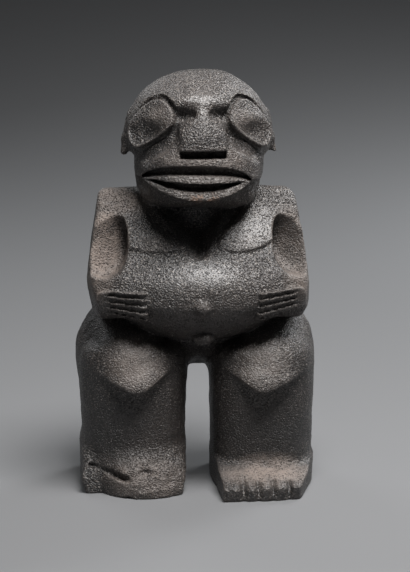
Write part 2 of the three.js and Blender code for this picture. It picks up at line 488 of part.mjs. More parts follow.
// ---- facets: the cheapest edge is closed again and again, by squared distance to the planes ----
function simplify({ points, faces }, target) {
  const nv = points.length;
  const P = new Float64Array(nv * 3);
  points.forEach((p, i) => { P[3 * i] = p[0]; P[3 * i + 1] = p[1]; P[3 * i + 2] = p[2]; });
  const Q = new Float64Array(nv * 10);
  const F = faces.map((f) => f.slice());
  const alive = new Uint8Array(F.length).fill(1);
  const ring = Array.from({ length: nv }, () => []);
  const normal = (a, b, c) => {
    const ux = P[3 * b] - P[3 * a];
    const uy = P[3 * b + 1] - P[3 * a + 1];
    const uz = P[3 * b + 2] - P[3 * a + 2];
    const wx = P[3 * c] - P[3 * a];
    const wy = P[3 * c + 1] - P[3 * a + 1];
    const wz = P[3 * c + 2] - P[3 * a + 2];
    return [uy * wz - uz * wy, uz * wx - ux * wz, ux * wy - uy * wx];
  };
  F.forEach((f, i) => {
    f.forEach((v) => ring[v].push(i));
    const m = normal(f[0], f[1], f[2]);
    const L = sqrt(m[0] ** 2 + m[1] ** 2 + m[2] ** 2) || 1;
    const [a, b, c] = [m[0] / L, m[1] / L, m[2] / L];
    const d = -(a * P[3 * f[0]] + b * P[3 * f[0] + 1] + c * P[3 * f[0] + 2]);
    const w = L / 2;
    const q = [a * a, a * b, a * c, a * d, b * b, b * c, b * d, c * c, c * d, d * d];
    f.forEach((v) => { for (let k = 0; k < 10; k += 1) Q[10 * v + k] += q[k] * w; });
  });
  const cost = (q, x, y, z) => q[0] * x * x + 2 * q[1] * x * y + 2 * q[2] * x * z + 2 * q[3] * x + q[4] * y * y + 2 * q[5] * y * z + 2 * q[6] * y + q[7] * z * z + 2 * q[8] * z + q[9];
  const stamp = new Int32Array(nv);
  const heap = [];
  const push = (e) => {
    let i = heap.push(e) - 1;
    while (i > 0) {
      const p = (i - 1) >> 1;
      if (heap[p].cost <= heap[i].cost) break;
      [heap[p], heap[i]] = [heap[i], heap[p]];
      i = p;
    }
  };
  const pop = () => {
    const top = heap[0];
    const last = heap.pop();
    if (heap.length) {
      heap[0] = last;
      let i = 0;
      for (;;) {
        const l = 2 * i + 1;
        if (l >= heap.length) break;
        const m = l + 1 < heap.length && heap[l + 1].cost < heap[l].cost ? l + 1 : l;
        if (heap[i].cost <= heap[m].cost) break;
        [heap[m], heap[i]] = [heap[i], heap[m]];
        i = m;
      }
    }
    return top;
  };
  const offer = (a, b) => {
    const q = new Array(10);
    for (let k = 0; k < 10; k += 1) q[k] = Q[10 * a + k] + Q[10 * b + k];
    const ends = [a, b].map((v) => [P[3 * v], P[3 * v + 1], P[3 * v + 2]]);
    const half = ends[0].map((v, k) => (v + ends[1][k]) / 2);
    const span = (ends[0][0] - ends[1][0]) ** 2 + (ends[0][1] - ends[1][1]) ** 2 + (ends[0][2] - ends[1][2]) ** 2;
    const tries = [half, ...ends];
    // best point of the summed quadric, where it is well defined and near
    const det = q[0] * (q[4] * q[7] - q[5] * q[5]) - q[1] * (q[1] * q[7] - q[5] * q[2]) + q[2] * (q[1] * q[5] - q[4] * q[2]);
    const size = q[0] + q[4] + q[7];
    if (det > 1e-4 * size ** 3) {
      const s = (A, B, C, D, E, G, H, I, J) => A * (E * J - G * I) - B * (D * J - G * H) + C * (D * I - E * H);
      const x = s(-q[3], q[1], q[2], -q[6], q[4], q[5], -q[8], q[5], q[7]) / det;
      const y = s(q[0], -q[3], q[2], q[1], -q[6], q[5], q[2], -q[8], q[7]) / det;
      const z = s(q[0], q[1], -q[3], q[1], q[4], -q[6], q[2], q[5], -q[8]) / det;
      if ((x - half[0]) ** 2 + (y - half[1]) ** 2 + (z - half[2]) ** 2 < span * 1.5) tries.push([x, y, z]);
    }
    let best = null;
    for (const t of tries) {
      const c = cost(q, t[0], t[1], t[2]) + span * 2e-3;
      if (best === null || c < best.c) best = { c, t };
    }
    push({ cost: best.c, a, b, at: best.t, sa: stamp[a], sb: stamp[b] });
  };
  const nextTo = (v) => {
    const s = new Set();
    for (const f of ring[v]) if (alive[f]) for (const u of F[f]) if (u !== v) s.add(u);
    return s;
  };
  let count = F.length;
  let pass = 0;
  while (count > target && pass < 12) {
    if (heap.length === 0) {
      pass += 1;
      for (let v = 0; v < nv; v += 1) if (stamp[v] >= 0) for (const u of nextTo(v)) if (u > v) offer(v, u);
    }
    const e = pop();
    if (stamp[e.a] !== e.sa || stamp[e.b] !== e.sb) continue;
    const { a, b, at } = e;
    const na = nextTo(a);
    const nb = nextTo(b);
    let common = 0;
    for (const v of na) if (nb.has(v)) common += 1;
    if (common !== 2 || na.size + nb.size > 20) continue;
    let good = true;
    for (const [v, o] of [[a, b], [b, a]]) {
      for (const f of ring[v]) {
        if (!alive[f] || F[f].includes(o)) continue;
        const before = normal(F[f][0], F[f][1], F[f][2]);
        const keep = [P[3 * v], P[3 * v + 1], P[3 * v + 2]];
        P[3 * v] = at[0]; P[3 * v + 1] = at[1]; P[3 * v + 2] = at[2];
        const after = normal(F[f][0], F[f][1], F[f][2]);
        let long = 0;
        for (let k = 0; k < 3; k += 1) {
          const g = F[f][k];
          const h = F[f][(k + 1) % 3];
          long = mx(long, (P[3 * g] - P[3 * h]) ** 2 + (P[3 * g + 1] - P[3 * h + 1]) ** 2 + (P[3 * g + 2] - P[3 * h + 2]) ** 2);
        }
        P[3 * v] = keep[0]; P[3 * v + 1] = keep[1]; P[3 * v + 2] = keep[2];
        const lb = sqrt(before[0] ** 2 + before[1] ** 2 + before[2] ** 2);
        const la = sqrt(after[0] ** 2 + after[1] ** 2 + after[2] ** 2);
        const dot = before[0] * after[0] + before[1] * after[1] + before[2] * after[2];
        if (dot < mx(0.45 - 0.05 * pass, 0.1) * lb * la || (la < 0.07 * long && la < 0.98 * lb)) { good = false; break; }
      }
      if (!good) break;
    }
    if (!good) continue;
    P[3 * a] = at[0]; P[3 * a + 1] = at[1]; P[3 * a + 2] = at[2];
    for (let k = 0; k < 10; k += 1) Q[10 * a + k] += Q[10 * b + k];
    for (const f of ring[b]) {
      if (!alive[f]) continue;
      if (F[f].includes(a)) { alive[f] = 0; count -= 1; } else {
        F[f][F[f].indexOf(b)] = a;
        ring[a].push(f);
      }
    }
    ring[a] = ring[a].filter((f) => alive[f]);
    ring[b] = [];
    stamp[a] += 1;
    stamp[b] = -1;
    for (const v of nextTo(a)) offer(mn(a, v), mx(a, v));
  }
  const map = new Map();
  const position = [];
  const faceIndex = [];
  F.forEach((f, i) => {
    if (!alive[i]) return;
    for (const v of f) {
      if (!map.has(v)) {
        map.set(v, map.size);
        position.push(P[3 * v], P[3 * v + 1], P[3 * v + 2]);
      }
      faceIndex.push(map.get(v));
    }
  });
  return { position, faceIndex };
}

function stoneGeometry() {
  const { position, faceIndex } = simplify(relax(trace(), 3), FACETS);
  // the underside lies flat on z = 0, and the box is centred over the origin
  for (let i = 0; i < position.length; i += 3) if (position[i + 2] < 0.4) position[i + 2] = 0;
  for (let i = 0; i < position.length; i += 3) {
    position[i] -= MIDDLE[0];
    position[i + 1] -= MIDDLE[1];
  }
  const geometry = new THREE.BufferGeometry();
  geometry.setAttribute('position', new THREE.Float32BufferAttribute(position, 3));
  geometry.setIndex(faceIndex);
  geometry.computeVertexNormals();
  return geometry;
}

const basalt = new THREE.MeshStandardMaterial({ name: 'basalt', color: 0x3a3330, roughness: 0.6, metalness: 0 });

const tiki = new THREE.Mesh(stoneGeometry(), basalt);
tiki.name = 'stone_tiki';

const group = new THREE.Group();
group.add(tiki);

export default group;
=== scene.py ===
import math
from types import SimpleNamespace as NS

import bpy
import numpy as np
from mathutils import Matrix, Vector


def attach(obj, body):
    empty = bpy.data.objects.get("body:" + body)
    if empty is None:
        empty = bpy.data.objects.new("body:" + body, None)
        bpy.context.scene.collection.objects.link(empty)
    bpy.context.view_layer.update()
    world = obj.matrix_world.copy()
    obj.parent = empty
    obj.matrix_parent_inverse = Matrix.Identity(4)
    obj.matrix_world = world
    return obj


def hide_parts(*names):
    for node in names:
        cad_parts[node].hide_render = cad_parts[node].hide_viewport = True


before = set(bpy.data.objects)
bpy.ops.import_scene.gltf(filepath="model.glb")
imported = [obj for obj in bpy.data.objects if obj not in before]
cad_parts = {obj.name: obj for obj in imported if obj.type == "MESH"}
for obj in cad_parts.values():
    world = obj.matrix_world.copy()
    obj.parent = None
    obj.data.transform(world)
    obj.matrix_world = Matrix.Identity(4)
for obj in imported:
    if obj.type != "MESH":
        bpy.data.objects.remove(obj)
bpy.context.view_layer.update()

sqrt, absv, mn, mx, where, exp, floor = np.sqrt, np.abs, np.minimum, np.maximum, np.where, np.exp, np.floor

# ---------------------------------------------------------------- the carving as a distance field
# Sizes in millimetres. x to the right of the front view, y to the back, z up.
CRANE = NS(x=1.0, y=10.0, z=345.0, a=72.0, b=62.0, c=64.9)
MUZZLE = NS(x=0.4, y=-2.0, z=310.0, a=62.0, b=69.5, up=52.0, down=36.0)
BROW = NS(y=2.0, z=379.5, a=48.5, b=52.6, c=16.5)
EYE = NS(x=46.8, y=-36.4, z=360.6, long=27.0, short=21.9, chord=16.3, gap=2.2, rim=2.4, dish=3.6)
EYEDIR = NS(so=0.656, co=0.755, su=0.225, cu=0.974)
NOSE = NS(top=378.5, bottom=336.2, bridge=-51.6, tip=-70.4, knee=352.5, slope=0.79, half=22.8, flare=0.52)
SLOT = NS(x=0.6, z=332.3, half=22.0, height=3.6)
MOUTH = NS(x=-4.3, z=307.4, half=52.5, tilt=-0.0225, top=13.0, lip=6.6, slit=8.4, low=18.4)
SHOULDER = NS(top=294.0, left=99.0, right=96.8, spread=0.156)
ELBOW = NS(left=111.3, right=109.0)
CHEST = NS(y=-46.0, z=236.0, rise=0.77, fall=0.88, plate=4.3, left=44.0, right=37.0)
BELLY = NS(y=-8.0, z=190.0, a=80.0, b=71.0, up=52.0, down=45.0)
SCOOP = NS(x=97.0, z=246.0, a=26.5, c=33.5, deep=10.0)
HAND = NS(x=75.0, y=-50.0, z=202.0, half=27.0, fingers=4.0, lap=3.5, lean=0.20)
HIP = NS(x=68.0, y=24.0, z=127.0, a=53.5, b=48.0, c=60.0)
KNEE = NS(x=64.0, y=-22.5, z=82.0, a=52.5, b=55.0, c=79.0, crease=98.5)
LEG = NS(left=65.3, right=62.9, a=51.8, ar=50.4, b=56.0, y=-2.0)
GAP = NS(x=-1.0, half=10.9, top=98.8)
FOOT = NS(front=-99.5, toe=13.5, outer=113.5, broken=-82.5)
TOES = NS(cut=4.8, width=2.5, c1=38.0, c2=52.3, c3=66.8, c4=82.5)
NAVEL = NS(x=-0.5, y=-79.0, z=186.5)
KNOB = NS(x=1.5, y=-58.0, z=155.0)

def clamp(v, a, b):
    return mn(mx(v, a), b)

def sstep(a, b, v):
    t = clamp((v - a) / (b - a), 0.0, 1.0)
    return t * t * (3.0 - 2.0 * t)

def bump(v):
    return exp(-v * v)

# rounded union and rounded cut, k wide
def smin(a, b, k):
    h = mx(k - absv(a - b), 0.0) / k
    return mn(a, b) - h * h * k * 0.25

def smax(a, b, k):
    h = mx(k - absv(a - b), 0.0) / k
    return mx(a, b) + h * h * k * 0.25

def ell(dx, dy, dz, a, b, c):
    k0 = sqrt((dx / a) ** 2 + (dy / b) ** 2 + (dz / c) ** 2)
    k1 = sqrt((dx / (a * a)) ** 2 + (dy / (b * b)) ** 2 + (dz / (c * c)) ** 2) + 1e-9
    return k0 * (k0 - 1.0) / k1

# superellipsoid: exponent n in plan, m up and down
def sup(dx, dy, dz, a, b, c, n, m):
    e = ((absv(dx / a) ** n + absv(dy / b) ** n) ** (m / n) + absv(dz / c) ** m) ** (1.0 / m) + 1e-6
    return sqrt(dx * dx + dy * dy + dz * dz) * (1.0 - 1.0 / e)

# round cone between two points
def cone(x, y, z, ax, ay, az, ra, bx, by, bz, rb):
    ux = bx - ax
    uy = by - ay
    uz = bz - az
    px = x - ax
    py = y - ay
    pz = z - az
    t = clamp((px * ux + py * uy + pz * uz) / (ux * ux + uy * uy + uz * uz), 0.0, 1.0)
    return sqrt((px - t * ux) ** 2 + (py - t * uy) ** 2 + (pz - t * uz) ** 2) - (ra + (rb - ra) * t)

def box(dx, dy, dz, hx, hy, hz, r):
    qx = absv(dx) - (hx - r)
    qy = absv(dy) - (hy - r)
    qz = absv(dz) - (hz - r)
    out = sqrt(mx(qx, 0.0) ** 2 + mx(qy, 0.0) ** 2 + mx(qz, 0.0) ** 2)
    return out + mn(mx(qx, mx(qy, qz)), 0.0) - r

# large dished eye discs, sunk above, standing out below
def eyes(x, y, z, d0):
    ax = absv(x - 0.4)
    dx = ax - EYE.x
    dy = y - EYE.y
    dz = z - EYE.z
    u = -EYEDIR.co * dx - EYEDIR.so * dy
    v = -EYEDIR.so * EYEDIR.su * dx + EYEDIR.co * EYEDIR.su * dy + EYEDIR.cu * dz
    w = EYEDIR.so * EYEDIR.cu * dx - EYEDIR.co * EYEDIR.cu * dy + EYEDIR.su * dz
    p = (u + v) * 0.7071 + 2.6
    q = (v - u) * 0.7071
    oval = (absv(p / EYE.long) ** 2.4 + absv(q / EYE.short) ** 2.4) ** (1.0 / 2.4)
    side = smax((oval - 1.0) * 24.0, u * 0.53 - v * 0.85 - EYE.chord, 7.0)
    rho = 1.0 + side / 24.0
    low = sstep(4.0, -12.0, v)
    dish = bump(sqrt(((u + 2.0) / 14.0) ** 2 + ((v + 8.5) / 8.5) ** 2))
    face = 1.0 + 3.2 * bump((v - 3.0) / 12.0) * mx(1.0 - rho * rho * rho, 0.0) - 0.03 * v - EYE.dish * dish + EYE.rim * low * bump((rho - 0.955) / 0.065)
    socket = smax(side - EYE.gap - 1.6 * sstep(-4.0, 10.0, v), face - 5.4 - w, 1.0)
    socket = smax(socket, w - 26.0, 1.0)
    disc = smax(side, w - face, 2.0)
    disc = smax(disc, -w - 16.0, 1.0)
    return smin(smax(d0, -socket, 1.6), disc, 1.0)

# lips: bands sunk into the muzzle, above, between and below them
def mouth(x, y, z):
    xm = x - MOUTH.x
    t = mn(absv(xm) / MOUTH.half, 1.0)
    zc = MOUTH.z + MOUTH.tilt * xm
    e = (1.0 - t ** 3.4) ** 0.8
    l = 1.0 - t * t
    zt = zc + MOUTH.top * e + 0.6
    zu = zc + MOUTH.lip * e - 0.6
    ts = mn(absv(xm + 1.0) / 44.0, 1.0)
    ls = 1.0 - ts * ts
    zs = zc - 2.0 * ls - 0.2
    zr = zc - MOUTH.slit * ls - 0.2
    zb = zc - MOUTH.low * l ** 0.9 - 0.4
    front = sstep(6.0, -16.0, y)
    inm = sstep(53.5, 50.0, absv(xm))
    groove = sstep(zu - 1.1, zu + 1.1, z) * sstep(zt + 0.9, zt - 0.9, z) * inm
    slit = sstep(zr - 1.6, zr + 1.6, z) * sstep(zs + 0.8, zs - 0.8, z) * sstep(45.0, 40.0, absv(xm + 1.0))
    chin = sstep(zb + 0.8, zb - 0.8, z) * sstep(zb - 24.0, zb - 6.0, z)
    upper = clamp((zu - z) / (zu - zs + 0.5), 0.0, 1.0) * sstep(zs - 0.8, zs + 0.8, z)
    lower = clamp((zr - z) / (zr - zb + 0.5), 0.0, 1.0) * sstep(zb - 0.8, zb + 0.8, z)
    out = inm * (0.4 + 0.6 * l) * (3.6 * upper + where(z < zs - 1.0, 6.6 * lower, 0.0))
    return front * (8.0 * groove + 8.5 * slit + 6.0 * chin - out)

def head(x, y, z):
    dx = x - CRANE.x
    ax = absv(dx)
    d = sup(dx, y - CRANE.y, z - CRANE.z - 1.6 * bump((dx - 26.0) / 16.0), CRANE.a, CRANE.b, CRANE.c, 2.1, 2.09)
    d = smax(d, ax - (62.0 + 14.5 * sstep(325.0, 337.0, z)), 4.0)
    muz = sup(x - MUZZLE.x, y - MUZZLE.y, z - MUZZLE.z, MUZZLE.a, MUZZLE.b, where(z < MUZZLE.z, MUZZLE.down, MUZZLE.up), 2.35, where(z < MUZZLE.z, 3.2, 2.7))
    d = smin(d, muz, 6.0)
    # the forehead stands out over the eyes and the sockets
    d = smin(d, sup(dx, y - BROW.y, z - BROW.z, BROW.a, BROW.b, BROW.c, 2.5, 2.1), 14.0)
    # valley from the bridge of the nose, close under each eye, out to the cheek
    val = cone(ax, y, z, 20.0, -55.0, 357.0, 6.0, 40.0, -53.0, 342.5, 8.0)
    val = smin(val, cone(ax, y, z, 40.0, -53.0, 342.5, 8.0, 62.0, -42.0, 329.5, 9.5), 5.0)
    d = smax(d, -val, 5.0)
    # nose: a wedge with rounded edges, flat below
    nf = 0.785 * (NOSE.bridge - y) + 0.62 * (z - NOSE.top) + 0.012 * ax * ax
    nf = smax(nf, NOSE.tip - y - 0.10 * (NOSE.knee - z) + 0.007 * ax * ax, 5.0)
    yn = mx(NOSE.bridge - (NOSE.top - z) * NOSE.slope, NOSE.tip)
    ns = (ax - 6.0 - (NOSE.top - z) * NOSE.flare * 0.9) * 0.80 - (y - yn) * 0.60
    nose = smax(nf, ns, 9.0)
    nose = smax(nose, ax - NOSE.half, 4.0)
    nose = smax(nose, NOSE.bottom - z, 1.2)
    nose = smax(nose, z - NOSE.top - 2.0, 4.0)
    nose = smax(nose, y + 30.0, 2.0)
    d = smin(d, nose, 4.5)
    # sockets beside the bridge
    d = smax(d, -cone(ax, y, z, 11.0, -53.5, 369.5, 4.6, 21.5, -50.5, 369.0, 6.2), 3.0)
    # slot under the nose
    d = smax(d, -box(x - SLOT.x, y + 72.0, z - SLOT.z, SLOT.half, 14.0, SLOT.height, 1.2), 1.8)
    # ears: a flange behind each eye that ends in a point
    ear = cone(ax, y, z, 65.0, 8.0, 366.0, 5.0, 70.0, 8.0, 342.0, 5.5)
    ear = smin(ear, cone(ax, y, z, 70.0, 8.0, 342.0, 5.5, where(dx < 0, 73.5, 73.9), 6.0, 330.0, 3.6), 4.0)
    ear = smax(ear, (where(dx < 0, 325.2, 328.6) - z) * 0.96 + (76.0 - ax) * 0.28, 1.2)
    d = smin(d, ear, 5.0)
    # a plain coil on the flat of each ear
    coil = sqrt((y - 27.0) ** 2 + (z - 350.0) ** 2)
    d = d + 1.6 * bump((coil - 8.5) / 2.2) * sstep(50.0, 58.0, ax)
    d = eyes(x, y, z, d)
    return d + mouth(x, y, z)

# front of the breast, and below it the slope down to the hands, with the breast plates raised
def breast(x, y, z):
    ax = absv(x)
    left = x < 0
    dz = z - CHEST.z
    fy = CHEST.y + where(dz > 0, CHEST.rise, CHEST.fall) * dz + 0.0005 * x * x
    w = (ax - where(left, CHEST.left, CHEST.right)) / 30.0
    out = w > 0
    zp = CHEST.z - 1.0 + w * w * where(out, where(left, 5.0, 8.0), where(left, 1.0, 9.0))
    edge = (z - zp) * 0.8
    inner = (ax - where(left, 8.0, 10.0) - (z - 238.0) * 0.80) * 0.78
    e = smin(edge, inner, where(left, 10.0, 8.0))
    plate = CHEST.plate * sstep(-1.0, where(left, 3.6, 2.6), e) * (1.0 - 0.15 * bump(e / 9.0))
    return (fy - plate - y) * 0.78

def trunk(x, y, z):
    ax = absv(x)
    left = x < 0
    side = (ax - where(left, SHOULDER.left, SHOULDER.right) - (287.0 - z) * where(left, SHOULDER.spread, SHOULDER.spread - 0.012)) * 0.988
    top = z - SHOULDER.top + where(left, 0.02, 0.0) * mx(ax - 50.0, 0.0)
    back = y - 46.0 - 10.0 * sstep(300.0, 225.0, z) + 0.0012 * x * x + 3.4 * bump(x / 8.0) * sstep(140.0, 185.0, z) + 2.4 * bump((ax - 80.0 - 0.12 * (290.0 - z)) / 4.5) * sstep(196.0, 214.0, z)
    blk = smax(side, top, where(left, 8.0, 13.0))
    blk = smax(blk, back, 26.0)
    blk = smax(blk, breast(x, y, z), 6.0)
    # plan outline of the slope where it meets the hands
    e = (absv(x / 121.0) ** 2.5 + absv((y + 6.0) / 68.0) ** 2.5) ** (1.0 / 2.5) + 1e-6
    plan = sqrt(x * x + (y + 6.0) ** 2) * (1.0 - 1.0 / e)
    blk = smax(blk, plan, 12.0)
    blk = smax(blk, 184.0 - z, 8.0)
    return blk

def belly(x, y, z):
    dz = z - BELLY.z
    return sup(x, y - BELLY.y, dz, BELLY.a, BELLY.b, where(dz > 0, BELLY.up, BELLY.down), 2.3, 2.1)

# cut between arm and breast: a steep inner wall, and a floor that comes forward outwards
def scoop(x, y, z):
    ax = absv(x)
    left = x < 0
    u = (ax - SCOOP.x) / SCOOP.a
    v = (z - SCOOP.z) / SCOOP.c
    e = (absv(u) ** 2.3 + absv(v) ** 2.3) ** (1.0 / 2.3)
    edge = (e - 1.0) * 28.0
    flat = y + SCOOP.deep + 0.46 * (ax - 72.0) + 10.0 * v * v
    return smax(edge, flat, 9.0)

def forearm(x, y, z):
    return box(absv(x) - 82.0, y + 8.0, z - 189.5, 27.5, 44.0, 18.5, 12.0)

# hand: a slab turned outwards, four fingers that each lean in below
def hand(x, y, z):
    ax = absv(x)
    left = x < 0
    dx = ax - HAND.x
    dy = y - HAND.y
    hx = dx * 0.951 + dy * 0.309
    hy = dy * 0.951 - dx * 0.309
    tip = hx + HAND.half
    zt = HAND.z + where(left, 0.02, 0.10) * tip - where(left, 0.0, 1.8)
    zb = where(left, 173.5, 172.5) + where(left, 0.17, 0.21) * tip
    half = (zt - zb) * 0.5
    hz = z - (zt + zb) * 0.5
    lean = hy + 20.5 - (zt - z) * HAND.lean
    d = smax(smax(absv(hx) - HAND.half, hy - 19.0, 3.0), absv(hz) - half, 1.6)
    d = smax(d, -lean, 1.6)
    d = smax(d, (-hx - HAND.half) * 0.707 - lean * 0.707 + 2.2, 1.2)
    d = smax(d, ax - where(left, 104.5, 103.5), 9.0)
    d = smax(d, sqrt(mx(hx - 8.0, 0.0) ** 2 + mx(absv(hz) - half + 17.0, 0.0) ** 2) - 19.5, 4.0)
    ph = clamp((zt - z) / (zt - zb), 0.0, 1.0) * HAND.fingers
    fr = ph - floor(mn(ph, HAND.fingers - 0.001))
    lap = sstep(0.02, 1.0, fr) * (1.0 - sstep(0.90, 1.0, fr)) * HAND.lap
    reach = sstep(42.0, 34.0, tip) * sstep(7.0, 3.0, lean) * sstep(3.95, 3.7, ph)
    return d + lap * reach

def legs(x, y, z):
    ax = absv(x)
    left = x < 0
    grow = sstep(20.0, 120.0, z)
    # columns, a little fuller above
    dx = ax - where(left, LEG.left, LEG.right)
    dy = y - LEG.y
    a = where(left, LEG.a, LEG.ar) + grow * 2.2
    b = LEG.b + 2.0 * grow + where(dy > 0, 4.5 * bump((z - 74.0) / 26.0), 0.0)
    e = (absv(dx / a) ** 2.8 + absv(dy / b) ** 2.8) ** (1.0 / 2.8) + 1e-6
    col = sqrt(dx * dx + dy * dy) * (1.0 - 1.0 / e)
    col = smax(col, z - 146.0, 24.0)
    # hips and seat
    hip = ell(ax - HIP.x, y - HIP.y, z - HIP.z + where(left, 0.0, 4.0), HIP.a - where(left, 0.0, 4.2), HIP.b, HIP.c - where(left, 0.0, 3.0))
    seat = ell(x, y - 22.0, z - 158.0, 86.0, 46.0, 40.0)
    d = smin(col, hip, 14.0)
    d = smin(d, seat, 16.0)
    # web that closes the gap above
    d = smin(d, ell(x + 1.0, y - 38.0, z - 128.0, 16.0, 24.0, 22.0), 8.0)
    # parting behind, from the small of the back down to the gap
    d = smax(d, -cone(x, y, z, 0.0, 80.0, 118.0, 7.0, 0.0, 72.0, 168.0, 3.0), 7.0)
    # knee and thigh, undercut in a wide V
    kx = ax - where(left, 63.0, 58.0)
    v1 = (KNEE.crease + where(left, 0.50, 0.44) * kx - z) * 0.88
    v2 = (KNEE.crease - where(left, 0.66, 0.62) * kx - z) * 0.85
    knee = sup(ax - KNEE.x, y - KNEE.y, z - KNEE.z, KNEE.a, KNEE.b, KNEE.c, 2.4, 1.7)
    knee = smin(knee, cone(ax, y, z, 78.0, 10.0, 140.0, 38.0, 74.0, -26.0, 128.0, 33.0), 12.0)
    ridge = cone(ax, y, z, 88.0, 0.0, 146.0, 22.5, 84.5, -34.0, 131.0, 22.0)
    knee = smin(knee, where(left, ridge + 12.0, ridge), 8.0)
    knee = smax(knee, smax(v1, v2, 12.0), 4.0)
    return smin(d, knee, 4.0)

# the whole foot: a flat slab with sloping instep and parted toes
def wholefoot(x, y, z):
    yf = FOOT.front + 5.0 * sstep(60.0, 98.0, x)
    yy = mn(y, 0.0)
    outer = x - (FOOT.outer - 0.0022 * yy * yy - 1.6 * sstep(22.0, 4.0, z))
    inner = 15.6 + 2.4 * sstep(-60.0, -95.0, y) - x
    top = smax((z - FOOT.toe - 0.34 * (y - yf)) * 0.94, z - 25.5, 8.0)
    d = smax(smax(outer, inner, 6.0), yf - y + 0.14 * mx(15.0 - z, 0.0), 2.5)
    d = smax(d, top, 2.5)
    d = smax(d, y - 58.0, 30.0)
    cut = bump((x - TOES.c1) / TOES.width) + bump((x - TOES.c2) / TOES.width) + bump((x - TOES.c3) / TOES.width) + bump((x - TOES.c4) / TOES.width)
    wide = bump((x - TOES.c1) / 5.0) + bump((x - TOES.c2) / 5.0) + bump((x - TOES.c3) / 5.0) + bump((x - TOES.c4) / 5.0)
    return d + (TOES.cut * mn(cut, 1.0) * sstep(-78.0, -86.0, y) + 1.5 * mn(wide, 1.0) * sstep(-84.0, -94.0, y)) * sstep(22.0, 15.0, z) * (0.25 + 0.75 * sstep(0.0, 11.0, z))

# the other foot: its front broken away
def brokenfoot(x, y, z):
    ax = -x
    k = where(ax > 60.0, 0.017, 0.0085)
    yb = mn(FOOT.broken + k * (ax - 60.0) ** 2, -57.0) - 1.0 - 2.0 * sstep(92.0, 114.0, ax)
    side = smax(ax - 118.0 + 3.0 * sstep(14.0, 0.0, z), 15.4 + 5.0 * sstep(20.0, 0.0, z) - ax, 6.0)
    slope = (z - 17.0 - 3.0 * sstep(60.0, 90.0, ax) - 0.95 * (y - yb)) * 0.725
    d = smax(smax(side, yb - y + 0.06 * z, 3.0), slope, 8.0)
    d = smax(d, z - 46.0, 10.0)
    # gouge across the instep, and a notch beside it
    gx = x + 90.5
    gz = z - 22.3
    gouge = ell(0.968 * gx - 0.252 * gz, y + 66.0 + 0.79 * gx, 0.252 * gx + 0.968 * gz, 22.0, 9.5, 3.7)
    d = smax(d, -gouge, 1.2)
    d = smax(d, -ell(x + 52.7, y + 75.8, z - 24.1, 9.5, 4.5, 2.1), 1.2)
    return smax(d, y - 58.0, 30.0)

def shape(x, y, z):
    ax = absv(x)
    left = x < 0
    d = smin(trunk(x, y, z), belly(x, y, z), 8.0)
    d = smin(d, forearm(x, y, z), 10.0)
    # outer side of the arms, falling in below the elbow and towards the hand
    lim = where(left, ELBOW.left - 0.19 * mx(206.0 - z, 0.0), ELBOW.right - 0.55 * mx(182.0 - z, 0.0)) - 0.19 * mx(-20.0 - y, 0.0)
    d = smax(d, (ax - lim) * 0.97, 4.0)
    d = smax(d, -scoop(x, y, z), 2.0)
    # hollow between the breasts up to the neck
    vx = (x - 1.5) * where(x < 1.5, 1.0, 1.3)
    vee = cone(vx, y, z, 0.0, -47.0, 240.0, 8.0, -3.0, -19.0, 300.0, 47.0)
    d = smax(d, -vee, where(left, 9.0, 4.0))
    d = smin(d, hand(x, y, z), 1.2)
    d = smin(d, legs(x, y, z), 4.0)
    d = smin(d, where(left, brokenfoot(x, y, z), wholefoot(x, y, z)), 9.0)
    # gap between the legs
    gx = absv(x - GAP.x)
    gz = mx(z - GAP.top, 0.0)
    d = smax(d, GAP.half - sqrt(gx * gx + gz * gz), 5.0)
    # neck
    d = smin(d, cone(x, y, z, 0.0, 22.0, 250.0, 36.0, 0.0, 20.0, 320.0, 38.0), 8.0)
    d = smin(d, head(x, y, z), 3.0)
    # navel, in a shallow dish, and knob
    d = d + 1.8 * bump(sqrt((x - NAVEL.x) ** 2 + (z - NAVEL.z) ** 2) / 11.0) * sstep(-60.0, -70.0, y)
    d = smin(d, ((absv(x - NAVEL.x) / 9.0) ** 1.4 + (absv(z - NAVEL.z) / 9.0) ** 1.4 + (absv(y - NAVEL.y) / 6.0) ** 2.0 - 1.0) * 3.2, 3.0)
    d = smin(d, ell(x - KNOB.x, y - KNOB.y, z - KNOB.z, 11.5, 11.0, 7.5), 2.5)
    # flat underside
    return smax(d, -z, 1.5)

# middle of the carving in plan, moved onto the origin, as in the CAD part
MIDDLE = (-2.066, -13.572)
GRID = 1.35
TRIANGLES = 194000


